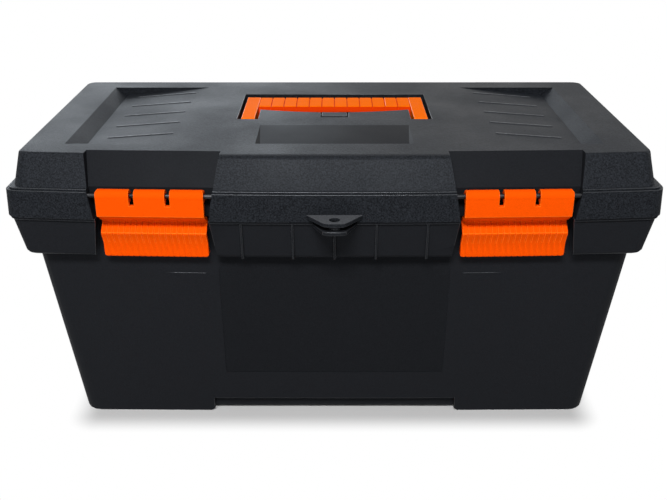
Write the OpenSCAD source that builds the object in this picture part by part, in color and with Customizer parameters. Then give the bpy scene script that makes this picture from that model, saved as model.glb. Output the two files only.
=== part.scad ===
// Hard tool case, 22-inch class: a moulded tub with a hinged lid, a fold-down carrying handle,
// two snap latches on steel rods, a padlock eye and a lift-out tray.
// Millimetres. X is the width, -Y is the front, +Z is up.
// The origin is on the floor, in the middle of the overall width and depth.

/* [Case] */
// Overall width, at the band round the lid
case_w = 556; // [500:1:640]
// Depth of the lid band, from the middle of the front to the back
case_d = 285; // [270:1:330]
// Overall height
case_h = 265; // [250:1:300]
// Plan radius of the bowed front
bow_r = 3150; // [2500:50:6000]
// Share of the bow that is left at the lower edge of the skirt
skirt_bow = 0.75; // [0.4:0.05:1]
// Share of the bow that is left in the tub wall at the floor
floor_bow = 0.2; // [0.1:0.05:1]
// Plan radius of the upright corners
corner_r = 12; // [8:1:18]
// Wall thickness of the tub and the lid
wall = 3; // [2.4:0.1:3.4]

/* [Lid] */
// Height of the parting line above the floor
part_z = 213.5; // [205:0.5:218]
// Height of the upright band round the lid
band_h = 23.8; // [22:0.2:26]
// How much the band flares out to its lower edge
band_flare = 1; // [0.5:0.1:1.5]
// Width of the shelf on top of the band, at the sides
side_shelf = 7.8; // [7:0.1:9.5]
// Width of the shelf on top of the band, at the back
back_shelf = 5.2; // [4:0.1:9]
// Width of the shelf on top of the band, at the front
front_shelf = 4.9; // [4:0.1:6]
// Height of the small step on the shelf
step_h = 1.9; // [1:0.1:2.5]
// Share of the shelf that lies below the step
step_share = 0.5; // [0.3:0.05:0.7]
// How far the sides of the lid lean in above the band
side_lean = 2.6; // [1:0.1:9]
// How far the front of the lid leans in above the band
front_lean = 14.8; // [12:0.2:18]
// Plan radius of the upright corners of the lid top
lid_corner_r = 10; // [4:0.5:12]
// Rounding of the edge round the lid top
top_round = 3; // [2:0.5:4]
// Rounding of the front edge of the lid top, between the latches
front_round = 8; // [4:0.5:9]

/* [Label Recess] */
// Width of the label recess in the lid top
label_w = 136.8; // [100:0.2:150]
// Depth of the label recess, front to back
label_d = 56.7; // [30:0.1:60]
// How deep the label recess is sunk along its front
label_sink = 3; // [1.5:0.1:4]
// Distance from the lid front edge to the label recess
label_from_edge = 33.4; // [30:0.1:50]

/* [Wedge Recesses] */
// Distance from the end of the case to the outer edge of a wedge recess
wedge_from_end = 45.5; // [42:0.5:54]
// Width of a wedge recess, out to its outer edge
wedge_w = 99.5; // [80:0.5:110]
// Length of a wedge recess, front to back
wedge_len = 198; // [150:1:205]
// Greatest depth of a wedge recess
wedge_sink = 8.4; // [5:0.1:10]
// Run of the outer slope of a wedge recess
wedge_slope = 12; // [8:0.5:16]
// Distance from the lid front edge to a wedge recess
wedge_from_edge = 33.5; // [30:0.5:40]
// Number of thin ribs on each wedge floor
wedge_ribs = 5; // [1:1:5]
// Spacing of the ribs, front to back
wedge_rib_pitch = 36.2; // [30:0.1:38]

/* [Handle] */
// Width over the handle arms
handle_w = 176.8; // [150:0.2:190]
// Width of one arm
arm_w = 13; // [10:0.5:16]
// Thickness of the arms
arm_t = 12; // [10:0.5:12.5]
// Distance from the pivot to the back of the grip
handle_reach = 75.7; // [65:0.1:80]
// Width of the grip, front to back
grip_w = 37.7; // [30:0.1:42]
// Thickness of the grip
grip_t = 15; // [12:0.5:17]
// Number of moulded segments on the grip
grip_segments = 12; // [6:1:14]
// Depth and width of the grooves between the segments
grip_groove = 1; // [0.6:0.1:1.4]
// Distance from the lid front edge to the handle pivot
pivot_from_edge = 117.8; // [110:0.1:125]
// Side gap between an arm and its channel
arm_gap = 3.3; // [2:0.1:4]
// Depth of the hollow under the grip
pocket_sink = 24; // [22:0.5:26]
// Gap between the back of the grip and its hollow
grip_gap = 9.8; // [6:0.1:12]
// Finger gap in front of the ends of the grip
finger_gap = 11.6; // [9:0.1:14]
// How far the front edge of the hollow bulges at its middle
pocket_bulge = 10.1; // [5:0.1:12]
// Diameter of a handle pivot pin
handle_pin_d = 6; // [4:0.5:7]

/* [Latches] */
// Distance from the end of the case to the middle of a latch
latch_from_end = 124.3; // [118:0.1:130]
// Width of a latch
latch_w = 90.2; // [84:0.1:91]
// How far a latch is turned to follow the bowed front, in degrees
latch_turn = 1.8; // [1.4:0.1:2.8]
// Height of the latch rod above the parting line
rod_up = 20; // [19:0.1:21]
// Distance from the band front to the middle of the rod
rod_in = 5.4; // [5.2:0.1:5.6]
// Diameter of the latch rod
rod_d = 4.4; // [3:0.1:5]
// Diameter of the latch barrel round the rod
barrel_d = 11.2; // [10:0.1:11.6]
// Width of the slots in the barrel
slot_w = 4.2; // [2.5:0.1:5]
// Number of upright ridges across the latch
latch_ridges = 18; // [8:1:22]
// Height of the ridges
ridge_h = 0.8; // [0.3:0.1:0.8]
// Width of the groove between two ridges
ridge_gap = 1; // [0.6:0.1:1.5]
// Depth of the lid recess behind a latch barrel
recess_in = 11.6; // [11.4:0.1:13]
// Half width of the lid recess at the parting line
recess_half = 48.6; // [47.5:0.1:52]
// How much wider the recess gets on each side for each millimetre of height
recess_flare = 0.163; // [0.1:0.001:0.2]
// Depth of the tub pocket behind a latch, from the band front
pocket_in = 20.7; // [20.3:0.1:22]
// Height of the catch bead in the tub pocket above the floor
catch_z = 178.5; // [178:0.5:180]
// How far the catch bead stands out of its pocket
catch_out = 2.2; // [1.5:0.1:2.5]

/* [Tub] */
// Draft of the front and back walls, in degrees
draft = 6.3; // [4:0.1:7]
// Draft of the side walls, in degrees
side_draft = 6.8; // [5:0.1:7]
// How far the side walls lie inside the band, at the parting line
body_in = 10.4; // [8.4:0.1:11]
// How far the back wall lies inside the band, at the parting line
body_back_in = 9.5; // [8.4:0.1:10.5]
// How far the front wall lies inside the band, at the parting line
body_front_in = 15.8; // [14:0.1:18]
// Height of the skirt below the rim
skirt_h = 37.2; // [30:0.1:40]
// How far the skirt lies inside the band at its top
skirt_in = 3.3; // [3:0.1:5]
// How much the skirt leans in to its lower edge
skirt_lean = 6.9; // [3:0.1:7.5]
// Rounding of the lower edge of the skirt
skirt_round = 3.5; // [2:0.5:5]
// Plan radius of the corners of the skirt
skirt_corner_r = 8; // [4:0.5:12]
// Spacing of the upright ribs on the front of the skirt
rib_pitch = 39.3; // [30:0.1:42]
// Width of an upright rib
rib_w = 1.8; // [1.4:0.1:2.4]
// How far the ribs stand out of the lower edge of the skirt
rib_out = 2.8; // [1:0.1:3.5]
// Height of the tongue that stands up inside the lid
tongue_h = 8.5; // [6:0.5:10]
// Half width of the raised middle between the feet
feet_gap_half = 115.5; // [100:0.5:150]
// Height of the feet
foot_h = 3.2; // [3:0.1:6]
// Height of the set-back strip between the feet, above the floor
strip_z = 15; // [12:0.5:20]
// How far the strip is set back
strip_in = 5; // [3:0.5:7]
// Half width of the shallow panel on the front
panel_half = 102; // [60:1:110]
// Sink of the shallow panel
panel_sink = 0.5; // [0.4:0.1:1.6]
// Height of the lower edge of the panel above the floor
panel_z = 46.5; // [30:0.5:60]

/* [Padlock Eye] */
// Diameter of the padlock hole
eye_d = 9; // [7:0.5:10]
// How far the lugs stand out from the band front
lug_out = 19.6; // [18:0.1:22]
// Distance from the band front to the padlock hole
eye_out = 10.5; // [9.5:0.1:12]
// Width of the upper lug at the band
lug_w = 47; // [36:1:56]
// Width of the lower lug at the band
low_lug_w = 37; // [30:1:50]
// Thickness of each lug
lug_t = 3.2; // [3:0.1:3.6]
// Height of the upper lug's underside above the parting line
lug_up = 3.3; // [2.5:0.1:4]

/* [Hinge] */
// Diameter of a hinge knuckle
knuckle_d = 11; // [10:0.5:12]
// Length of a hinge knuckle
knuckle_l = 14; // [10:1:18]
// Diameter of a hinge pin
hinge_pin_d = 4; // [3:0.1:5]
// Distance from the end of the case to the middle of a hinge
hinge_from_end = 113; // [90:0.5:150]

/* [Tray] */
// Gap between the tray rim and the tub, at each end
tray_end_gap = 1; // [0.5:0.1:3]
// Height of the tray body below its rim
tray_h = 50; // [35:1:60]
// Wall thickness of the tray
tray_wall = 2.2; // [1.8:0.1:2.6]
// Width of the tray rim at its ends
tray_gap = 8; // [6:0.5:12]
// Plan radius of the tray corners
tray_corner_r = 13; // [10:0.5:16]
// Number of boxes behind the middle wall
tray_boxes = 5; // [3:2:7]

/* [Fits] */
// Radial clearance of a pin in its bore
pin_fit = 0.06; // [0.04:0.01:0.08]
// Clearance between the lid band and the tongue of the tub
lid_fit = 1; // [0.8:0.1:1.2]
// Gap between parts that face each other at rest
rest_gap = 0.3; // [0.2:0.05:0.4]

/* [Hidden] */

$fn = 48;
sliver = 0.01;      // thickness of the slices that a loft runs between
over = 1;           // how far a cut runs past the face it opens
bow_steps = 7;      // straight stretches on each half of a bowed front
corner_steps = 5;   // straight stretches round an upright corner

case_colour = [0.19, 0.2, 0.22];
tray_colour = [0.13, 0.14, 0.15];
orange = [0.95, 0.34, 0.05];
steel = [0.55, 0.56, 0.58];

hinge_out = knuckle_d/2 + 0.5;                       // axis behind the band
depth_all = lug_out + case_d + hinge_out + knuckle_d/2;
band_y0 = lug_out - depth_all/2;                     // front of the band, in the middle
band_y1 = band_y0 + case_d;
hinge_y = band_y1 + hinge_out;
hinge_z = part_z;
band_half = case_w/2;
latch_x = band_half - latch_from_end;
hinge_x = band_half - hinge_from_end;
wedge_out_x = band_half - wedge_from_end;
wedge_in_x = wedge_out_x - wedge_w;
band_z1 = part_z + band_h;
step_z1 = band_z1 + step_h;
edge_y = band_y0 + front_shelf + front_lean;         // front edge of the lid top, in the middle
flange_t = 2.5;                                      // thin rim that shows under the band
flange_in = 1.5;
tongue_in = wall + lid_fit;                          // outer face of the tongue, inside the band
tub_z1 = part_z + tongue_h;

// Plan outlines --------------------------------------------------------------------------------

// How far the bowed front has fallen back at x.
function bow(x) = bow_r - sqrt(bow_r*bow_r - x*x);

function arc(cx, cy, r, a0, a1, n) =
    [for (i = [1:n]) [cx + r*cos(a0 + (a1 - a0)*i/n), cy + r*sin(a0 + (a1 - a0)*i/n)]];

// A rectangle with a bowed front at y0, a straight back at y1 and rounded corners. It has
// a share of the full bow.
function bowed(half, y0, y1, r, share = 1) =
    let (front_r = bow_r/share,
         a = asin((half - r)/(front_r - r)),
         cy = y0 + front_r - (front_r - r)*cos(a))
    concat(
        [for (i = [-bow_steps:bow_steps])
            [front_r*sin(a*i/bow_steps), y0 + front_r*(1 - cos(a*i/bow_steps))]],
        arc(half - r, cy, r, a - 90, 0, corner_steps),
        arc(half - r, y1 - r, r, 0, 90, corner_steps),
        arc(r - half, y1 - r, r, 90, 180, corner_steps),
        arc(r - half, cy, r, 180, 270 - a, corner_steps - 1));

// The band outline, moved in by the same amount all round, and by some more at the front.
function inset(d, front_more = 0, r = corner_r) =
    bowed(band_half - d, band_y0 + d + front_more, band_y1 - d, max(r - d, 2));

module slice(z, outline) {
    translate([0, 0, z])
        linear_extrude(sliver)
            polygon(outline);
}

module plate(z0, z1, outline) {
    translate([0, 0, z0])
        linear_extrude(z1 - z0)
            polygon(outline);
}

// An outline of [y, z] points, extruded w along X and centred.
module prism_x(w, outline) {
    rotate([90, 0, 90])
        translate([0, 0, -w/2])
            linear_extrude(w)
                polygon(outline);
}

// An outline of [x, z] points, extruded along Y from y0 to y1.
module prism_y(y0, y1, outline) {
    translate([0, y1, 0])
        rotate([90, 0, 0])
            linear_extrude(y1 - y0)
                polygon(outline);
}

module rod_x(d, l) {
    rotate([0, 90, 0])
        cylinder(d = d, h = l, center = true);
}

// A rectangle of [y, z] points from [y0, z0] to [y1, z1], rounded with r, and with back_r
// on its top edge at y1.
function rounded(y0, z0, y1, z1, r, back_r = 0) =
    let (b = back_r > 0 ? back_r : r)
    concat(arc(y0 + r, z0 + r, r, 180, 270, 6), arc(y1 - r, z0 + r, r, 270, 360, 6),
           arc(y1 - b, z1 - b, b, 0, 90, 6), arc(y0 + r, z1 - r, r, 90, 180, 6));

module both_sides() {
    children();
    mirror([1, 0, 0])
        children();
}

// Latch frames: y is the distance into the case from the band front, x runs outwards ----------

module at_latch(side) {
    mirror([side < 0 ? 1 : 0, 0, 0])
        translate([latch_x, band_y0 + bow(latch_x), 0])
            rotate([0, 0, latch_turn])
                children();
}

rod_z = part_z + rod_up;
rod_half = recess_half + recess_flare*rod_up + 0.8*wall;
recess_lean = front_lean + 4;       // the upper part of the recess leans with the lid front
recess_knee = step_z1;

// Trapezoid of [x, z] points that the lid recess fills, grown by g.
function recess_front(g) =
    let (w0 = recess_half + g - recess_flare*over,
         w1 = recess_half + g + recess_flare*(case_h - part_z + over))
    [[-w0, part_z - over], [w0, part_z - over], [w1, case_h + over], [-w1, case_h + over]];

function recess_side(g) =
    let (lean = recess_lean/(case_h - recess_knee))
    [[-4*wall, part_z - over], [recess_in + g, part_z - over], [recess_in + g, recess_knee],
     [recess_in + g + recess_lean + lean*over, case_h + over], [-4*wall, case_h + over]];

module recess(g) {
    intersection() {
        prism_x(4*recess_half, recess_side(g));
        prism_y(-4*wall, 4*recess_in, recess_front(g));
    }
}

// Lid ------------------------------------------------------------------------------------------

// Plan outline of the leaning part of the lid, t = 0 at its foot and 1 at the top.
// It is moved in by d, and by front_d at the front.
function lid_outline(t, d, front_d) =
    bowed(band_half - side_shelf - side_lean*t - d,
          band_y0 + front_shelf + front_lean*t + front_d,
          band_y1 - back_shelf - side_lean*t - d, max(lid_corner_r - d, 1.5));

lean_h = case_h - step_z1;
lean_angle = atan(front_lean/lean_h);                // of the front slope, from upright

// The leaning part of the lid. The edge of its top is rounded with r at the front.
module lid_top(r) {
    turn = 90 - lean_angle;
    reach = r*tan(turn/2);
    hull() {
        slice(step_z1 - sliver, lid_outline(0, 0, 0));
        for (k = [0:3]) {
            a = turn*k/3;
            drop = r*(1 - cos(a));
            side_a = min(acos(max(1 - drop/top_round, 0)), 75);
            side_d = top_round*(tan(37.5) - sin(side_a)) + side_lean*drop/lean_h;
            slice(case_h - drop - (k == 0 ? sliver : 0),
                  lid_outline(1 - drop/lean_h, max(side_d, 0),
                              reach - r*sin(a) + front_lean*drop/lean_h));
        }
    }
}

module lid_outside() {
    hull() {
        slice(part_z, inset(0));
        slice(band_z1 - sliver, inset(band_flare));
    }
    plate(band_z1 - sliver, step_z1, inset(side_shelf*step_share,
                                           (front_shelf - side_shelf)*step_share));
    lid_top(front_round);
    intersection() {
        lid_top(top_round);
        both_sides()
            translate([latch_x, -case_d, 0])
                cube([case_w, 2*case_d, case_h]);
    }
}

module lid_inside() {
    plate(part_z - over, band_z1 - wall, inset(wall));
    hull() {
        slice(band_z1 - wall - over, lid_outline(0, wall, wall));
        slice(case_h - wall - front_round/4, lid_outline(1 - front_round/4/lean_h, wall, wall));
        slice(case_h - wall - sliver, lid_outline(1, 1.5*wall, wall + front_round/2));
    }
}

handle_top = case_h - 0.5;          // the folded handle lies just below the lid top
arm_under = 2.5;                    // room under the folded arms
arm_end_gap = 1;                    // room in front of the arm ends
pivot_y = edge_y + pivot_from_edge;
pivot_z = handle_top - arm_t/2;
grip_y1 = pivot_y + handle_reach;
grip_y0 = grip_y1 - grip_w;
channel_x0 = handle_w/2 - arm_w - arm_gap;
channel_x1 = handle_w/2 + arm_gap;
channel_y0 = pivot_y - arm_t/2 - arm_end_gap;
channel_z = handle_top - arm_t - arm_under;
pocket_y0 = grip_y0 - finger_gap;
pocket_y1 = grip_y1 + grip_gap;
pocket_z = case_h - pocket_sink;
pad_half = 13.3;                    // a small pad in front of the hollow, set off by a groove
pad_len = 12.5;
pad_groove = 4.4;                   // width of the groove along its front
pad_slit = 1.2;                     // and along its sides
pad_sink = 2.5;

// Plan of the hollow under the grip: its front edge bulges forward in the middle.
function pocket_plan(g) = concat(
    [for (i = [-6:6]) [channel_x0*i/6, pocket_y0 - g - pocket_bulge*(1 - pow(i/6, 2))]],
    [[channel_x1 + g, pocket_y0 - g], [channel_x1 + g, pocket_y1 + g],
     [-channel_x1 - g, pocket_y1 + g], [-channel_x1 - g, pocket_y0 - g]]);

module handle_pocket(g) {
    plate(pocket_z - g, case_h + over, pocket_plan(g));
    both_sides()
        translate([channel_x0 - g, channel_y0 - g, channel_z - g])
            cube([channel_x1 - channel_x0 + 2*g, pocket_y1 - channel_y0, pocket_sink]);
    pad_groove_cut(g);
}

// The groove goes round three sides of the pad; grown by g it takes in the pad too.
module pad_groove_cut(g) {
    y1 = pocket_y0 - pocket_bulge;
    difference() {
        translate([-pad_half - g, y1 - pad_len - pad_groove - g, case_h - pad_sink - g])
            cube([2*(pad_half + g), pad_len + pad_groove + g, pocket_sink]);
        if (g == 0)
            translate([pad_slit - pad_half, y1 - pad_len, 0])
                cube([2*(pad_half - pad_slit), pad_len + over, case_h]);
    }
}

label_y0 = edge_y + label_from_edge;

// A bare recess for a label: its floor rises from the front to nothing at the back.
module label_recess(g) {
    half = label_w/2 + g;
    low = case_h - label_sink - g;
    intersection() {
        prism_x(2*half, [[label_y0 - g, case_h + over], [label_y0 - g, case_h],
            [label_y0 - g + 0.3*label_sink, low], [label_y0 + label_d + g, case_h - g],
            [label_y0 + label_d + g, case_h + over]]);
        prism_y(label_y0 - g, label_y0 + label_d + g, [[-half, case_h + over],
            [-half, case_h], [1.3*label_sink - half, low], [half - 1.3*label_sink, low],
            [half, case_h], [half, case_h + over]]);
    }
}

wedge_y0 = edge_y + wedge_from_edge;

module wedge_recess(g) {
    run = wedge_out_x - wedge_slope - wedge_in_x;
    both_sides()
        prism_y(wedge_y0 - g, wedge_y0 + wedge_len + g,
            [[wedge_out_x + g + wedge_slope*over/wedge_sink, case_h + over],
             [wedge_out_x - wedge_slope + g, case_h - wedge_sink - g],
             [wedge_in_x - g, case_h - g], [wedge_in_x - g, case_h + over]]);
}

rib_t = 1.2;                        // width and height of a rib on a wedge floor
rib_turn = 4.5;                     // its outer end lies further back
rib_len = 61;
rib_from_front = 33;                // first rib, behind the front of the recess
rib_from_end = 12;                  // ribs, from the shallow end of the recess

// Thin slanting ribs that lie on the floor of a wedge recess.
module wedge_rib_row() {
    tilt = atan(wedge_sink/(wedge_out_x - wedge_slope - wedge_in_x));
    for (i = [0:wedge_ribs - 1])
        translate([wedge_in_x, wedge_y0 + rib_from_front + wedge_rib_pitch*i, case_h])
            rotate([0, tilt, 0])
                rotate([0, 0, rib_turn])
                    translate([rib_from_end, 0, -rib_t/2])
                        cube([rib_len, rib_t, rib_t]);
}

lug_rim = 2.8;                      // material beside the padlock hole
lug_round = 2.5;                    // rounding of the lug tip

// Plan of a lug: a trapezoid on the band, w wide there, with a rounded tip.
module lug_plan(y_in, w) {
    tip = eye_d/2 + lug_rim;
    c = lug_round;
    polygon([[-w/2, y_in], [-w/2, 0], [-tip - c, 0.8*c - lug_out],
        [-tip, 0.25*c - lug_out], [1.2*c - tip, -lug_out], [tip - 1.2*c, -lug_out],
        [tip, 0.25*c - lug_out], [tip + c, 0.8*c - lug_out], [w/2, 0], [w/2, y_in]]);
}

module lug(z, y_in, w) {
    translate([0, band_y0, z])
        difference() {
            linear_extrude(lug_t)
                lug_plan(y_in, w);
            translate([0, -eye_out, -over])
                cylinder(d = eye_d, h = lug_t + 2*over);
        }
}

knuckle_gap = 0.6;                  // between neighbouring knuckles
knuckle_pitch = knuckle_l + knuckle_gap;
hinge_pin_back = 1;                 // each pin end stays this far inside its knuckle
hinge_pin_l = 5*knuckle_l + 4*knuckle_gap - 2*hinge_pin_back;

module knuckle(x) {
    translate([x, hinge_y, hinge_z])
        rod_x(knuckle_d, knuckle_l);
}

// Web from a knuckle to the wall in front of it, from z0 to z1.
module knuckle_web(x, y_in, z0, z1) {
    translate([x - knuckle_l/2, band_y1 - y_in, z0])
        cube([knuckle_l, y_in + hinge_out, z1 - z0]);
}

module hinge_bore(x) {
    translate([x, hinge_y, hinge_z])
        rod_x(hinge_pin_d + 2*pin_fit, 6*knuckle_l);
}

sunk_wall = wall - 0.5;             // wall under the sunk areas of the lid top

module lid() {
    color(case_colour)
        difference() {
            union() {
                difference() {
                    lid_outside();
                    difference() {
                        lid_inside();
                        handle_pocket(wall);
                        label_recess(sunk_wall);
                        wedge_recess(sunk_wall);
                        at_latch(1)
                            recess(wall);
                        at_latch(-1)
                            recess(wall);
                    }
                    handle_pocket(0);
                    label_recess(0);
                    wedge_recess(0);
                    at_latch(1)
                        recess(0);
                    at_latch(-1)
                        recess(0);
                }
                both_sides()
                    wedge_rib_row();
                lug(part_z + lug_up, wall/2, lug_w);
                for (side = [-1, 1], k = [-1, 1]) {
                    x = side*hinge_x + k*knuckle_pitch;
                    knuckle(x);
                    knuckle_web(x, wall/2, part_z, part_z + knuckle_d/2);
                }
            }
            for (side = [-1, 1]) {
                hinge_bore(side*hinge_x);
                translate([side*(channel_x0 + channel_x1)/2, pivot_y, pivot_z])
                    rod_x(handle_pin_d + 2*pin_fit, channel_x1 - channel_x0 + 3*wall);
                at_latch(side)
                    translate([0, rod_in, rod_z])
                        rod_x(rod_d + 2*pin_fit, 2*rod_half + 2*wall);
            }
        }
}

// Handle ---------------------------------------------------------------------------------------

segment_l = (handle_w - 2*arm_w)/grip_segments;
arm_soft = 2;                       // softened corner at the end of an arm
grip_round = grip_t/2 - 1;
grip_back_round = 3;                // the top of the grip is squarer at the back

module arm() {
    translate([handle_w/2 - arm_w/2, 0, 0]) {
        translate([0, pivot_y, pivot_z])
            rod_x(arm_t, arm_w);
        prism_x(arm_w, [[pivot_y, handle_top - arm_t], [grip_y1 - arm_soft, handle_top - arm_t],
            [grip_y1, handle_top - arm_t + arm_soft], [grip_y1, handle_top - arm_soft/2],
            [grip_y1 - arm_soft/2, handle_top], [pivot_y, handle_top]]);
    }
}

module handle() {
    color(orange)
        difference() {
            union() {
                both_sides()
                    arm();
                prism_x(handle_w - arm_w, rounded(grip_y0 + grip_groove,
                    handle_top - grip_t + grip_groove, grip_y1 - grip_groove,
                    handle_top - grip_groove, grip_round - grip_groove,
                    grip_back_round));
                for (i = [0:grip_segments - 1])
                    translate([segment_l*(i + 0.5 - grip_segments/2), 0, 0])
                        prism_x(segment_l - grip_groove, rounded(grip_y0,
                            handle_top - grip_t, grip_y1, handle_top, grip_round,
                            grip_back_round));
            }
            translate([0, pivot_y, pivot_z])
                rod_x(handle_pin_d + 2*pin_fit, handle_w + 2*over);
        }
}

// A pin goes through an arm, and both its ends sit in the walls of the channel.
module handle_pin(side) {
    color(case_colour)
        translate([side*(channel_x0 + channel_x1)/2, pivot_y, pivot_z])
            rod_x(handle_pin_d, channel_x1 - channel_x0 + 1.6*wall);
}

// Latches --------------------------------------------------------------------------------------

latch_back = pocket_in - catch_out - rest_gap;       // back of the hook, clear of the catch bead
skin = 3.6;                         // wall thickness of a latch
web_t = 2.6;                        // and of the web that runs in below its plate
plate_z = part_z + 2.7;             // lower edge of the plate that hangs from the barrel
web_z = part_z - 1.2;               // top of the web
groove_in = 13;
groove_h = 3;                       // height of the back of the long groove
groove_z = web_z - web_t - groove_h - 0.7;
crest_drop = 6.5;                   // the crest that a finger pulls, below the groove
crest_in = 6;
crest_h = 2;
crest_z = groove_z - crest_drop;
fold_z = crest_z - 5.75*crest_h;    // the lip below the crest starts here
lip_in = 11;
lip_h = 12.5;
lip_z = fold_z - lip_h;             // lower edge of the latch
hook_h = 6;
slot_z = rod_z - 7.5;               // bottom of the slots in the barrel
latch_round = 2.5;                  // rounding of the corners of the latch

// Side view of a latch below its barrel, as [y, z]; y is the distance in from the band front.
// The groove and the crest are sunk by d and the lip by less; the back keeps its place.
function latch_side(d) = [
    [0, rod_z], [0, plate_z + 0.6], [0.6, plate_z], [0.42*groove_in, plate_z - web_t],
    [0.8*groove_in, web_z - web_t], [groove_in + d, web_z - web_t - 0.7],
    [groove_in + d, groove_z], [crest_in + d + 1, crest_z + 1.2], [crest_in + d, crest_z],
    [crest_in + d, crest_z - crest_h], [lip_in + d/4, fold_z], [lip_in + d/4, lip_z + 1.5],
    [lip_in + d/4 + 0.6, lip_z], [latch_back - 0.8, lip_z], [latch_back, lip_z + 0.8],
    [latch_back, lip_z + hook_h], [lip_in + skin, lip_z + 1.5*hook_h], [lip_in + skin, fold_z],
    [crest_in + skin, crest_z - crest_h], [crest_in + skin, crest_z + 1],
    [groove_in + skin, groove_z + 1], [groove_in + skin, web_z - 1],
    [groove_in + skin - 1, web_z], [2.4*skin, web_z], [skin + 1, plate_z + 2],
    [skin + 1, rod_z]];

module latch(side) {
    top_z = rod_z + barrel_d/2;
    color(orange)
        at_latch(side)
            difference() {
                intersection() {
                    union() {
                        translate([0, rod_in, rod_z])
                            rod_x(barrel_d, latch_w);
                        prism_x(latch_w, latch_side(ridge_h));
                        for (i = [0:latch_ridges - 1])
                            translate([latch_w*((i + 0.5)/latch_ridges - 0.5), 0, 0])
                                prism_x(latch_w/latch_ridges - ridge_gap, latch_side(0));
                    }
                    prism_y(-barrel_d, 2*latch_back,
                            rounded(-latch_w/2, lip_z, latch_w/2, top_z + 0.2, latch_round));
                }
                translate([0, rod_in, rod_z])
                    rod_x(rod_d + 2*pin_fit, latch_w + 2*over);
                for (k = [-1, 1])
                    translate([k*latch_w/6, 0, 0])
                        latch_slot();
            }
}

// A slot through the barrel. Behind the plate it goes right down past the barrel.
module latch_slot() {
    back = rod_in + barrel_d;
    low = rod_z - barrel_d/2 - 0.3;
    prism_x(slot_w, [[-over, slot_z], [skin + 1, slot_z], [skin + 1, low], [back, low],
                     [back, rod_z + barrel_d], [-over, rod_z + barrel_d]]);
}

// The rod spans the recess, and both its ends sit in the side walls of the recess.
module latch_rod(side) {
    color(steel)
        at_latch(side)
            translate([0, rod_in, rod_z])
                rod_x(rod_d, 2*rod_half);
}

// Tub ------------------------------------------------------------------------------------------

// Plan outline of the tub wall at height z, moved in by d.
function body_outline(z, d = 0) =
    let (side = (part_z - z)*tan(side_draft) + d,
         more = (part_z - z)*tan(draft) + d)
    bowed(band_half - body_in - side, band_y0 + body_front_in + more,
          band_y1 - body_back_in - more, max(corner_r + 4 - d, 4),
          floor_bow + (1 - floor_bow)*z/part_z);

flange_z1 = part_z - rest_gap;
skirt_z0 = flange_z1 - skirt_h;
skirt_t = wall - 0.4;
ledge_z = flange_z1 - 2;            // step inside the rim that carries the tray
floor_z = wall;

// Plan outline of the skirt, moved in by in_by, with a share of the bow.
function skirt_outline(in_by, share) =
    bowed(band_half - in_by, band_y0 + in_by, band_y1 - in_by, skirt_corner_r, share);

// The skirt below the rim, moved in by d. Its lower edge is rounded.
module skirt(d) {
    low_in = skirt_in + skirt_lean + d;
    up = skirt_round/skirt_h;
    hull() {
        slice(skirt_z0 - (d > 0 ? over : 0), skirt_outline(low_in + 0.75*skirt_round, skirt_bow));
        slice(skirt_z0 + 0.3*skirt_round, skirt_outline(low_in + 0.25*skirt_round,
                                                        skirt_bow + (1 - skirt_bow)*0.3*up));
        slice(skirt_z0 + skirt_round, skirt_outline(low_in - skirt_lean*up,
                                                    skirt_bow + (1 - skirt_bow)*up));
        slice(flange_z1 - flange_t, skirt_outline(skirt_in + d, 1));
    }
}

rib_places = [-2, -0.9, 0, 0.9, 2]; // in rib pitches from the case middle

// Thin upright ribs on the front of the skirt, in the middle.
module skirt_ribs() {
    for (x = rib_places*rib_pitch)
        translate([x, band_y0 + bow(x), 0])
            prism_x(rib_w, [[flange_in + 0.4, flange_z1 - flange_t],
                [skirt_in + skirt_lean - rib_out, skirt_z0], [body_front_in + wall, skirt_z0],
                [body_front_in, flange_z1 - flange_t]]);
}

window_top = recess_half - 0.8;     // half width of a window at the parting line
window_low = window_top + 5;        // and at the lower edge of the skirt
window_sill = 20;                   // the pocket runs out this far below the skirt
tongue_gap = 1.5;                   // room beside the walls of the lid recess
boss_half = recess_half + 2*(wall + tongue_gap);

// Pocket in the rim and skirt behind a latch, with room above it for the lid recess.
module latch_window() {
    slot_half = recess_half + wall + tongue_gap;
    prism_y(-over, pocket_in, [[-window_low, skirt_z0 - window_sill],
        [window_low, skirt_z0 - window_sill], [window_low, skirt_z0], [window_top, part_z],
        [-window_top, part_z], [-window_low, skirt_z0]]);
    prism_y(-over, pocket_in, [[-slot_half, flange_z1], [slot_half, flange_z1],
        [slot_half + tongue_gap, tub_z1 + over], [-slot_half - tongue_gap, tub_z1 + over]]);
}

// Material that stays behind a pocket, so that its wall keeps its thickness.
module latch_boss() {
    translate([-boss_half, -over, skirt_z0 - window_sill - wall])
        cube([2*boss_half, pocket_in + wall + over, tub_z1]);
}

bead_l = 0.8*latch_w;
bead_half = 3;                      // half height of a catch bead at its foot
bead_nose = 0.8;                    // and at its nose

module catch_bead() {
    at_latch(1)
        translate([0, pocket_in, catch_z])
            prism_x(bead_l, [[over, -bead_half], [0, -bead_half], [-catch_out, -bead_nose],
                [-catch_out, bead_nose], [0, bead_half], [over, bead_half]]);
}

module tub_inside() {
    hull() {
        slice(floor_z, body_outline(floor_z, wall));
        slice(ledge_z, body_outline(ledge_z, wall));
    }
    plate(ledge_z, tub_z1 + over, inset(tongue_in + wall));
}

module body_core(d) {
    hull() {
        slice(0, body_outline(0, d));
        slice(flange_z1 - sliver, body_outline(flange_z1, d));
    }
}

// A low channel right through between the feet, under a set-back strip at the front and back.
module feet_gap() {
    half = feet_gap_half;
    low = half + foot_h + over;
    prism_y(band_y0, band_y1, [[-low, -over], [low, -over], [half, foot_h], [-half, foot_h]]);
    difference() {
        translate([-half, band_y0, -over])
            cube([2*half, case_d, strip_z + over]);
        body_core(strip_in);
    }
}

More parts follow.
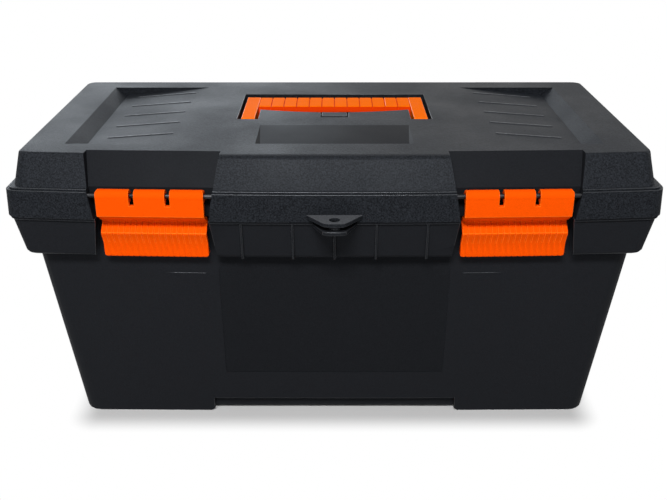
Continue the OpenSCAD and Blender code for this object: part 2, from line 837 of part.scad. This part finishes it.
// Material that stays inside, over the channel and behind the strips.
module feet_gap_boss() {
    half = feet_gap_half + wall;
    depth = (part_z - strip_z)*tan(draft) + strip_in + 2*wall;
    translate([-half, band_y0, 0])
        cube([2*half, case_d, foot_h + wall]);
    translate([-half, band_y0, 0])
        cube([2*half, body_front_in + depth, strip_z + wall]);
    translate([-half, band_y1 - body_back_in - depth, 0])
        cube([2*half, body_back_in + depth, strip_z + wall]);
}

panel_gap = 4;                      // between the panel and the skirt

module front_panel() {
    difference() {
        translate([-panel_half, band_y0, panel_z])
            cube([2*panel_half, case_d/2, skirt_z0 - panel_z - panel_gap]);
        body_core(panel_sink);
    }
}

module tub_shell() {
    body_core(0);
    difference() {
        skirt(0);
        skirt(skirt_t);
    }
    skirt_ribs();
    plate(flange_z1 - flange_t, flange_z1, inset(flange_in));
    plate(flange_z1 - flange_t, tub_z1, inset(tongue_in));
}

lug_down = 0.8;                     // top of the lower lug, below the parting line
web_in = 2;                         // how far the knuckle webs run into the skirt
web_low = 4;                        // and how far down below the knuckles

module tub() {
    color(case_colour)
        difference() {
            union() {
                difference() {
                    tub_shell();
                    difference() {
                        tub_inside();
                        at_latch(1)
                            latch_boss();
                        at_latch(-1)
                            latch_boss();
                        feet_gap_boss();
                    }
                    at_latch(1)
                        latch_window();
                    at_latch(-1)
                        latch_window();
                    feet_gap();
                    front_panel();
                }
                both_sides()
                    catch_bead();
                lug(part_z - lug_down - lug_t, body_front_in, low_lug_w);
                for (side = [-1, 1], k = [-2, 0, 2]) {
                    x = side*hinge_x + k*knuckle_pitch;
                    knuckle(x);
                    knuckle_web(x, skirt_in + web_in, part_z - knuckle_d/2 - web_low,
                                flange_z1);
                }
            }
            for (side = [-1, 1])
                hinge_bore(side*hinge_x);
        }
}

module hinge_pin(side) {
    color(steel)
        translate([side*hinge_x, hinge_y, hinge_z])
            rod_x(hinge_pin_d, hinge_pin_l);
}

// Tray -----------------------------------------------------------------------------------------

tray_rim_t = 2.5;
tray_front_gap = 4;                 // between the tray and the latch pockets
tray_z1 = ledge_z + tray_rim_t;
tray_z0 = ledge_z - tray_h;
tray_y0 = band_y0 + pocket_in + wall + bow(latch_x) + tray_front_gap;
tray_y1 = band_y1 - tongue_in - wall - tray_gap;
tray_mid = (tray_y0 + tray_y1)/2;
tray_half = band_half - tongue_in - wall - tray_end_gap;
tray_body_half = tray_half - tray_gap;

// The tapered body of the tray from z0 to z1, moved in by d.
module tray_block(z0, z1, d) {
    lean = (ledge_z - z0)*tan(draft);
    hull() {
        slice(z0, tray_outline(tray_body_half, d + lean));
        slice(z1 - sliver, tray_outline(tray_body_half, d));
    }
}

function tray_outline(half, d) =
    rounded(d - half, tray_y0 + d, half - d, tray_y1 - d, max(tray_corner_r - d, 2));

divider_h = tray_h - 6;             // the inner walls stay below the rim
bar_t = 9;                          // the carrying bar in the middle wall
bar_half = 75;
bar_up = 3;                         // it stands this much above the rim
hole_half = 50;                     // its hand hole
hole_h = 24;
hole_drop = 10;

module lift_out_tray() {
    half = tray_body_half;
    box_l = 2*half/tray_boxes;
    color(tray_colour)
        difference() {
            union() {
                difference() {
                    union() {
                        tray_block(tray_z0, tray_z1, 0);
                        plate(ledge_z, tray_z1, tray_outline(tray_half, 0));
                    }
                    tray_block(tray_z0 + tray_wall, tray_z1 + over, tray_wall);
                }
                intersection() {
                    tray_block(tray_z0, tray_z1 + over, tray_wall/2);
                    union() {
                        translate([-half, tray_mid - tray_wall/2, tray_z0])
                            cube([2*half, tray_wall, divider_h]);
                        for (i = [1:tray_boxes - 1])
                            translate([i*box_l - half - tray_wall/2, tray_mid, tray_z0])
                                cube([tray_wall, tray_y1 - tray_mid, divider_h]);
                    }
                }
                translate([-bar_half, tray_mid - bar_t/2, tray_z0])
                    cube([2*bar_half, bar_t, tray_z1 + bar_up - tray_z0]);
            }
            translate([-hole_half, tray_mid - bar_t/2 - over, tray_z1 - hole_drop - hole_h])
                cube([2*hole_half, bar_t + 2*over, hole_h]);
        }
}

module latch_left() { latch(-1); }
module latch_right() { latch(1); }
module latch_rod_left() { latch_rod(-1); }
module latch_rod_right() { latch_rod(1); }
module handle_pin_left() { handle_pin(-1); }
module handle_pin_right() { handle_pin(1); }
module hinge_pin_left() { hinge_pin(-1); }
module hinge_pin_right() { hinge_pin(1); }

tub();
lid();
handle();
handle_pin_left();
handle_pin_right();
latch_left();
latch_right();
latch_rod_left();
latch_rod_right();
hinge_pin_left();
hinge_pin_right();
lift_out_tray();
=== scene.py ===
# A hard tool case of the 22-inch class: black moulded tub and lid, an orange carrying handle
# that folds into the lid, two orange latches on steel rods and a lift-out tray.
import math

import bmesh
import bpy
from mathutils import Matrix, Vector


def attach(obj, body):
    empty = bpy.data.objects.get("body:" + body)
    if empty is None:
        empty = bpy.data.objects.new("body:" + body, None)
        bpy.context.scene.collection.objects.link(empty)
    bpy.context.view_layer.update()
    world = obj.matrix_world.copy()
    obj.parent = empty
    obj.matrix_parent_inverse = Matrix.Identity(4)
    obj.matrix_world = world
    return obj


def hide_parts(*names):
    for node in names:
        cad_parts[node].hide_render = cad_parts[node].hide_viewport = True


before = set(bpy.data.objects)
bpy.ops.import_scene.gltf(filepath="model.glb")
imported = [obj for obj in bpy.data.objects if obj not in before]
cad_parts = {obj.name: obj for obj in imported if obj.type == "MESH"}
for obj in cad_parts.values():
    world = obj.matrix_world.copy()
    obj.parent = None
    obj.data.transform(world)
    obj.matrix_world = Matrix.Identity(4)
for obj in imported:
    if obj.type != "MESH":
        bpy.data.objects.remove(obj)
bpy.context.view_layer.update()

# ---------------------------------------------------------------------------------------------
# The camera of the photograph: straight in front of the case, looking down on it by 24 degrees.

FOCAL_PX, PHOTO_W = 890.0, 667.0    # focal length and width of the picture, in pixels
SHIFT_PX = -1.0                     # the case lies this far beside the middle of the picture
CAMERA_PLACE = (0, -0.82252, 0.49663)
CAMERA_TILT = math.radians(65.7455)
camera = bpy.data.objects.new("camera", bpy.data.cameras.new("camera"))
bpy.context.scene.collection.objects.link(camera)
camera.location = CAMERA_PLACE
camera.rotation_euler = (CAMERA_TILT, 0, 0)
camera.data.sensor_width = 36.0
camera.data.lens = camera.data.sensor_width * FOCAL_PX / PHOTO_W
camera.data.shift_x = SHIFT_PX / PHOTO_W
bpy.context.scene.camera = camera
bpy.context.scene.view_settings.view_transform = "Standard"

# ---------------------------------------------------------------------------------------------
# The studio. A white surround that shows as white and lights the case weakly from everywhere, a
# broad lamp overhead, a weak one in front, and a strip behind the case that puts the sheen on
# its lid.

SURROUND_LIGHT = 0.14
world = bpy.data.worlds.new("surround")
bpy.context.scene.world = world
world.use_nodes = True
nodes, links = world.node_tree.nodes, world.node_tree.links
background = nodes["Background"]
background.inputs["Color"].default_value = (1, 1, 1, 1)
path = nodes.new("ShaderNodeLightPath")
seen = nodes.new("ShaderNodeMath")
seen.operation = "MAXIMUM"
also_seen = nodes.new("ShaderNodeMath")
also_seen.operation = "MAXIMUM"
strength = nodes.new("ShaderNodeMapRange")
strength.inputs["To Min"].default_value = SURROUND_LIGHT
strength.inputs["To Max"].default_value = 1.0
links.new(path.outputs["Is Camera Ray"], seen.inputs[0])
links.new(path.outputs["Is Glossy Ray"], seen.inputs[1])
links.new(seen.outputs[0], also_seen.inputs[0])
links.new(path.outputs["Is Transmission Ray"], also_seen.inputs[1])
links.new(also_seen.outputs[0], strength.inputs["Value"])
links.new(strength.outputs["Result"], background.inputs["Strength"])


def soft_lamp(name, place, aim, size, watts, colour=(1, 1, 1)):
    lamp = bpy.data.lights.new(name, "AREA")
    lamp.shape = "RECTANGLE"
    lamp.size, lamp.size_y = size
    lamp.energy = watts
    lamp.color = colour
    stand = bpy.data.objects.new(name, lamp)
    bpy.context.scene.collection.objects.link(stand)
    stand.location = place
    stand.rotation_euler = (Vector(aim) - Vector(place)).to_track_quat("-Z", "Y").to_euler()
    stand.visible_camera = False


soft_lamp("lamp_key", (-0.15, -1.36, 1.65), (0, -0.12, 0.18), (0.9, 0.35), 43)
soft_lamp("lamp_front", (-1.1, -1.9, 0.6), (-0.1, -0.1, 0.1), (1.0, 0.8), 4)
soft_lamp("lamp_rear", (-0.75, 1.6, 0.85), (-0.1, 0, 0.25), (1.6, 0.7), 9, (0.80, 0.90, 1.0))

# The floor is white paper: plain white away from the case, and up close it shows the soft shadow.

FOOTPRINT = (0.225, 0.105, 0.0)     # half the length and half the depth of the tub's foot
SHADOW_REACH = 0.032                # how far the shadow shows beyond it
FLOOR_HALF = 6                      # half the width of the paper

floor_mesh = bpy.data.meshes.new("floor")
paper_corners = [(x * FLOOR_HALF, y * FLOOR_HALF, 0) for x, y in
                 ((-1, -1), (1, -1), (1, 1), (-1, 1))]
floor_mesh.from_pydata(paper_corners, [], [(0, 1, 2, 3)])
floor = bpy.data.objects.new("floor", floor_mesh)
bpy.context.scene.collection.objects.link(floor)
paper = bpy.data.materials.new("paper")
paper.use_nodes = True
nodes, links = paper.node_tree.nodes, paper.node_tree.links
dull = nodes["Principled BSDF"]
dull.inputs["Base Color"].default_value = (0.58, 0.58, 0.58, 1)
dull.inputs["Roughness"].default_value = 0.9
dull.inputs["Specular IOR Level"].default_value = 0
white = nodes.new("ShaderNodeEmission")
blend = nodes.new("ShaderNodeMixShader")
path = nodes.new("ShaderNodeLightPath")
place = nodes.new("ShaderNodeNewGeometry")
folded = nodes.new("ShaderNodeVectorMath")
folded.operation = "ABSOLUTE"
beyond = nodes.new("ShaderNodeVectorMath")
beyond.operation = "SUBTRACT"
beyond.inputs[1].default_value = FOOTPRINT
outside = nodes.new("ShaderNodeVectorMath")
outside.operation = "MAXIMUM"
distance = nodes.new("ShaderNodeVectorMath")
distance.operation = "LENGTH"
bareness = nodes.new("ShaderNodeMapRange")
bareness.interpolation_type = "SMOOTHSTEP"
bareness.inputs["From Max"].default_value = SHADOW_REACH
bareness.inputs["To Min"].default_value = 0.0
bareness.inputs["To Max"].default_value = 1.0
share = nodes.new("ShaderNodeMath")
share.operation = "MULTIPLY"
links.new(place.outputs["Position"], folded.inputs[0])
links.new(folded.outputs["Vector"], beyond.inputs[0])
links.new(beyond.outputs["Vector"], outside.inputs[0])
links.new(outside.outputs["Vector"], distance.inputs[0])
links.new(distance.outputs["Value"], bareness.inputs["Value"])
links.new(path.outputs["Is Camera Ray"], share.inputs[0])
links.new(bareness.outputs["Result"], share.inputs[1])
links.new(share.outputs[0], blend.inputs["Fac"])
links.new(dull.outputs["BSDF"], blend.inputs[1])
links.new(white.outputs["Emission"], blend.inputs[2])
links.new(blend.outputs["Shader"], nodes["Material Output"].inputs["Surface"])
floor_mesh.materials.append(paper)

# ---------------------------------------------------------------------------------------------
# The tub. Injection-moulded black polypropylene, 3 mm thick, with the rim, skirt, ribs, feet,
# lower padlock lug, catch beads and hinge knuckles in one moulding with a fine spark grain.


WELD = 2e-6                     # vertices of the solids that lie this close are one
FLAT = math.radians(0.6)        # neighbouring faces within this angle are joined into one
MANY_SIDED = 20                 # joined faces with more sides than this would fold when their
                                # edges are rounded, so they are cut into triangles again
CORNER = math.radians(28.0)     # edges sharper than this are corners
ROOM = 2.4                      # a corner is rounded where it has room for this many radii
POLISHED = 1                    # place of the polished edge in each list of materials


def edge_room(edge):
    """How far a rounding of this edge may reach before it meets the next edge."""
    room = 1.0
    along = (edge.verts[1].co - edge.verts[0].co).normalized()
    for vert in edge.verts:
        for other in vert.link_edges:
            if other is edge or not any(face in edge.link_faces for face in other.link_faces):
                continue
            sideways = (other.verts[1].co - other.verts[0].co).cross(along).length
            if sideways > 0.3 * other.calc_length():    # it turns off, and doesn't run on
                room = min(room, sideways)
    return room


def in_zone(place, zone):
    """Whether a place is in a zone that is mirrored left and right."""
    (x0, y0, z0), (x1, y1, z1) = zone
    return x0 <= abs(place.x) <= x1 and y0 <= place.y <= y1 and z0 <= place.z <= z1


def moulded(node, body, materials, radius, zones=()):
    """A copy of one CAD moulding: its flats joined up and its outer edges rounded and polished.
    The materials are those of its faces, of its edges, and of the zones that name them. A zone
    is a box, the largest face that it takes in, and the place of its material in the list. Its
    edges keep crisp."""
    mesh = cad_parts[node].data.copy()
    mesh.name = node + "_moulding"
    form = bmesh.new()
    form.from_mesh(mesh)
    bmesh.ops.remove_doubles(form, verts=form.verts, dist=WELD)
    bmesh.ops.dissolve_limit(form, angle_limit=FLAT, use_dissolve_boundaries=False,
                             verts=form.verts, edges=form.edges)
    weight = form.edges.layers.float.new("bevel_weight_edge")
    for face in form.faces:
        face.smooth = True
        face.material_index = 0
        for box, largest, finish in zones:
            if face.calc_area() < largest and all(in_zone(vert.co, box) for vert in face.verts):
                face.material_index = finish
                break
    many_sided = [face for face in form.faces if len(face.verts) > MANY_SIDED]
    bmesh.ops.triangulate(form, faces=many_sided)
    for edge in form.edges:
        edge.smooth = True
        if edge.is_manifold and edge.calc_face_angle(0) > CORNER:
            zoned = any(face.material_index > POLISHED for face in edge.link_faces)
            if edge.is_convex and edge_room(edge) > ROOM * radius and not zoned:
                edge[weight] = 1.0
            else:
                edge.smooth = False
    mesh.materials.clear()
    for material in materials:
        mesh.materials.append(material)
    form.to_mesh(mesh)
    form.free()
    piece = bpy.data.objects.new(node + "_moulding", mesh)
    bpy.context.scene.collection.objects.link(piece)
    soften = piece.modifiers.new("soften", "BEVEL")
    soften.limit_method = "WEIGHT"
    soften.width = radius
    soften.segments = 2
    soften.use_clamp_overlap = False
    soften.material = POLISHED
    even = piece.modifiers.new("even", "WEIGHTED_NORMAL")
    even.keep_sharp = True
    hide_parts(node)
    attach(piece, body)


def moulded_plastic(name, colour, rough, ior, sheen, grain, depth, mottle=0.3):
    """Polypropylene: the mould's spark grain as bump and speckle, with clouds in the polish.
    The grain is in grains to the metre, its depth in metres, and the mottle is the share by
    which the speckle is darker than the colour. It is lighter by twice that."""
    material = bpy.data.materials.new(name)
    material.use_nodes = True
    nodes, links = material.node_tree.nodes, material.node_tree.links
    plastic = nodes["Principled BSDF"]
    plastic.inputs["IOR"].default_value = ior
    plastic.inputs["Specular Tint"].default_value = (*sheen, 1)
    place = nodes.new("ShaderNodeTexCoord")
    speckle = nodes.new("ShaderNodeTexNoise")
    speckle.inputs["Scale"].default_value = grain
    speckle.inputs["Detail"].default_value = 3
    links.new(place.outputs["Object"], speckle.inputs["Vector"])
    tint = nodes.new("ShaderNodeValToRGB")
    tint.color_ramp.elements[0].position = 0.35
    tint.color_ramp.elements[0].color = (*[c * (1 - mottle) for c in colour], 1)
    tint.color_ramp.elements[1].position = 0.70
    tint.color_ramp.elements[1].color = (*[c * (1 + 2 * mottle) for c in colour], 1)
    links.new(speckle.outputs["Fac"], tint.inputs["Fac"])
    links.new(tint.outputs["Color"], plastic.inputs["Base Color"])
    cloud = nodes.new("ShaderNodeTexNoise")
    cloud.inputs["Scale"].default_value = 14
    cloud.inputs["Detail"].default_value = 4
    links.new(place.outputs["Object"], cloud.inputs["Vector"])
    polish = nodes.new("ShaderNodeMapRange")
    polish.inputs["From Min"].default_value = 0.35
    polish.inputs["From Max"].default_value = 0.65
    polish.inputs["To Min"].default_value = rough - 0.05
    polish.inputs["To Max"].default_value = rough + 0.06
    links.new(cloud.outputs["Fac"], polish.inputs["Value"])
    links.new(polish.outputs["Result"], plastic.inputs["Roughness"])
    bump = nodes.new("ShaderNodeBump")
    bump.inputs["Distance"].default_value = depth
    links.new(speckle.outputs["Fac"], bump.inputs["Height"])
    links.new(bump.outputs["Normal"], plastic.inputs["Normal"])
    return material


BLUISH, WARM = (0.88, 0.93, 1.0), (1.0, 0.55, 0.22)     # tints of the sheen
case_black = moulded_plastic("case_black", (0.0108, 0.0122, 0.0148), 0.44, 1.15, BLUISH,
                             760, 0.00018, 0.45)
case_edge = moulded_plastic("case_edge", (0.0120, 0.0130, 0.0145), 0.30, 1.50, BLUISH,
                            900, 0.00004)
case_smooth = moulded_plastic("case_smooth", (0.0110, 0.0119, 0.0139), 0.34, 1.07, BLUISH,
                              900, 0.00003, 0.1)
# A lighter black for the top of the lug and the ribs of the wedges: a painted highlight.
case_painted_highlight = moulded_plastic("case_painted_highlight", (0.060, 0.063, 0.069), 0.38, 1.30, BLUISH,
                            700, 0.00005, 0.3)
tub_black = moulded_plastic("tub_black", (0.0113, 0.0122, 0.0145), 0.46, 1.13, BLUISH,
                            1100, 0.00006, 0.12)
CASE_ROUND = 0.00045                # radius of the edges of the tub and the lid
ANY_SIZE = 1                        # larger than any face
SMOOTH, PAINTED_HIGHLIGHT = 2, 3                 # places in the list of materials
PLAIN = 4                           # the grained black once more, for a zone with crisp edges
FRONT_PANEL = ((0, -0.140, 0.0460), (0.1025, -0.09, 0.173))
moulded("tub", "tub", (tub_black, case_edge, case_smooth), CASE_ROUND,
        [(FRONT_PANEL, ANY_SIZE, SMOOTH)])

# ---------------------------------------------------------------------------------------------
# The lid. The same black polypropylene as the tub, with a coarser grain. The label recess and
# the latch recesses are smooth, and the top of the lug and the ribs of the wedges are painted
# lighter as a painted highlight.

LABEL_FLOOR = ((0, -0.087, 0.2600), (0.070, -0.026, 0.2652))
LATCH_RECESS = ((0.085, -0.137, 0.212), (0.216, -0.090, 0.2655))
WEDGE = ((0.130, -0.088, 0.2540), (0.2345, 0.117, 0.2665))
LUG_TOP = ((0, -0.160, 0.2195), (0.030, -0.138, 0.2205))
RIB_FACE = 1.0e-4                   # the ribs have smaller faces than this, the floor larger
# The top of the lug and the ribs of the wedges take the painted highlight.
moulded("lid", "lid", (case_black, case_edge, case_smooth, case_painted_highlight, case_black),
        CASE_ROUND,
        [(LABEL_FLOOR, ANY_SIZE, SMOOTH), (LATCH_RECESS, ANY_SIZE, SMOOTH),
         (LUG_TOP, ANY_SIZE, PAINTED_HIGHLIGHT), (WEDGE, RIB_FACE, PAINTED_HIGHLIGHT), (WEDGE, ANY_SIZE, PLAIN)])

# ---------------------------------------------------------------------------------------------
# The handle. One orange polypropylene moulding, smooth, with twelve segments on its grip. The
# grooves and the front of the grip are painted a deeper orange, which is painted shade.

orange = moulded_plastic("safety_orange", (0.84, 0.078, 0.0012), 0.42, 1.05, WARM,
                         1600, 0.00003, 0.05)
grip_orange = moulded_plastic("grip_orange", (0.92, 0.150, 0.0018), 0.48, 1.04, WARM,
                              1600, 0.00003, 0.05)
orange_edge = moulded_plastic("safety_orange_edge", (0.92, 0.15, 0.006), 0.30, 1.35, WARM,
                              1600, 0.00002, 0.05)
# A darker copy of the orange for the front of the grip and its grooves: painted shade, not a
# colour of the plastic.
painted_shade_orange = moulded_plastic("painted_shade_orange", (0.60, 0.034, 0.0010), 0.44, 1.05, WARM,
                              1600, 0.00003, 0.05)
HANDLE_ROUND = 0.00045              # too much for the edges of the grooves, which keep crisp
PAINTED_SHADE = 2                            # place in the list of materials
GRIP_FRONT = ((0, 0.0360, 0.2490), (0.0765, 0.0392, 0.2628))
GROOVES = ((0, 0.0360, 0.2490), (0.0765, 0.0735, 0.2638))
GROOVE_FACE = 3.6e-5                # the grooves have smaller faces than this
# The front of the grip and the grooves of its segments take the painted shade.
moulded("handle", "handle", (grip_orange, orange_edge, painted_shade_orange),
        HANDLE_ROUND, [(GRIP_FRONT, ANY_SIZE, PAINTED_SHADE), (GROOVES, GROOVE_FACE, PAINTED_SHADE)])

# ---------------------------------------------------------------------------------------------
# The latches. Orange polypropylene, one moulding each, on a drawn steel rod.

LATCH_ROUND = 0.0003
for side in ("left", "right"):
    moulded("latch_" + side, "latch_" + side, (orange, orange_edge),
            LATCH_ROUND)

# ---------------------------------------------------------------------------------------------
# The latch rods. Drawn steel, 4.4 mm thick, pushed through the lid and the latch barrels; the
# drawing has left fine lines along them, and they have gone dull with handling.


def drawn_steel(name, colour, rough):
    """Drawn rod: fine lines along it in the bump, and clouds of dull oxide."""
    material = bpy.data.materials.new(name)
    material.use_nodes = True
    nodes, links = material.node_tree.nodes, material.node_tree.links
    metal = nodes["Principled BSDF"]
    metal.inputs["Metallic"].default_value = 1.0
    place = nodes.new("ShaderNodeTexCoord")
    stretch = nodes.new("ShaderNodeMapping")
    stretch.inputs["Scale"].default_value = (0.02, 1, 1)    # the lines run along X
    links.new(place.outputs["Object"], stretch.inputs["Vector"])
    lines = nodes.new("ShaderNodeTexNoise")
    lines.inputs["Scale"].default_value = 2400
    links.new(stretch.outputs["Vector"], lines.inputs["Vector"])
    bump = nodes.new("ShaderNodeBump")
    bump.inputs["Distance"].default_value = 0.00002
    links.new(lines.outputs["Fac"], bump.inputs["Height"])
    links.new(bump.outputs["Normal"], metal.inputs["Normal"])
    oxide = nodes.new("ShaderNodeTexNoise")
    oxide.inputs["Scale"].default_value = 90
    oxide.inputs["Detail"].default_value = 4
    links.new(place.outputs["Object"], oxide.inputs["Vector"])
    tone = nodes.new("ShaderNodeValToRGB")
    tone.color_ramp.elements[0].position = 0.35
    tone.color_ramp.elements[0].color = (*[0.7 * c for c in colour], 1)
    tone.color_ramp.elements[1].position = 0.65
    tone.color_ramp.elements[1].color = (*[1.3 * c for c in colour], 1)
    links.new(oxide.outputs["Fac"], tone.inputs["Fac"])
    links.new(tone.outputs["Color"], metal.inputs["Base Color"])
    dulness = nodes.new("ShaderNodeMapRange")
    dulness.inputs["To Min"].default_value = rough - 0.08
    dulness.inputs["To Max"].default_value = rough + 0.12
    links.new(oxide.outputs["Fac"], dulness.inputs["Value"])
    links.new(dulness.outputs["Result"], metal.inputs["Roughness"])
    return material


rod_steel = drawn_steel("rod_steel", (0.030, 0.030, 0.032), 0.34)
for side in ("left", "right"):
    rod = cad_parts["latch_rod_" + side].data
    rod.materials.clear()
    rod.materials.append(rod_steel)

# ---------------------------------------------------------------------------------------------
# The hinge pins. Drawn steel, 4 mm thick, driven through the five knuckles of each hinge.

pin_steel = drawn_steel("pin_steel", (0.16, 0.16, 0.165), 0.32)
for side in ("left", "right"):
    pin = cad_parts["hinge_pin_" + side].data
    pin.materials.clear()
    pin.materials.append(pin_steel)

# ---------------------------------------------------------------------------------------------
# The handle pins. Moulded black plastic, 6 mm thick, pressed into the lid through the arms.

pin_black = moulded_plastic("pin_black", (0.0095, 0.0100, 0.0115), 0.36, 1.20, BLUISH,
                            1500, 0.00003, 0.15)
for side in ("left", "right"):
    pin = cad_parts["handle_pin_" + side].data
    pin.materials.clear()
    pin.materials.append(pin_black)

# ---------------------------------------------------------------------------------------------
# The lift-out tray. One thin moulding of the same black polypropylene, smoother inside than the
# case, with a trough, five boxes and a carrying bar; it hangs by its rim on the tub's ledge.

tray_black = moulded_plastic("tray_black", (0.0130, 0.0138, 0.0155), 0.40, 1.18, BLUISH,
                             1000, 0.00008, 0.2)
TRAY_ROUND = 0.0005
moulded("lift_out_tray", "tray", (tray_black, case_edge), TRAY_ROUND)
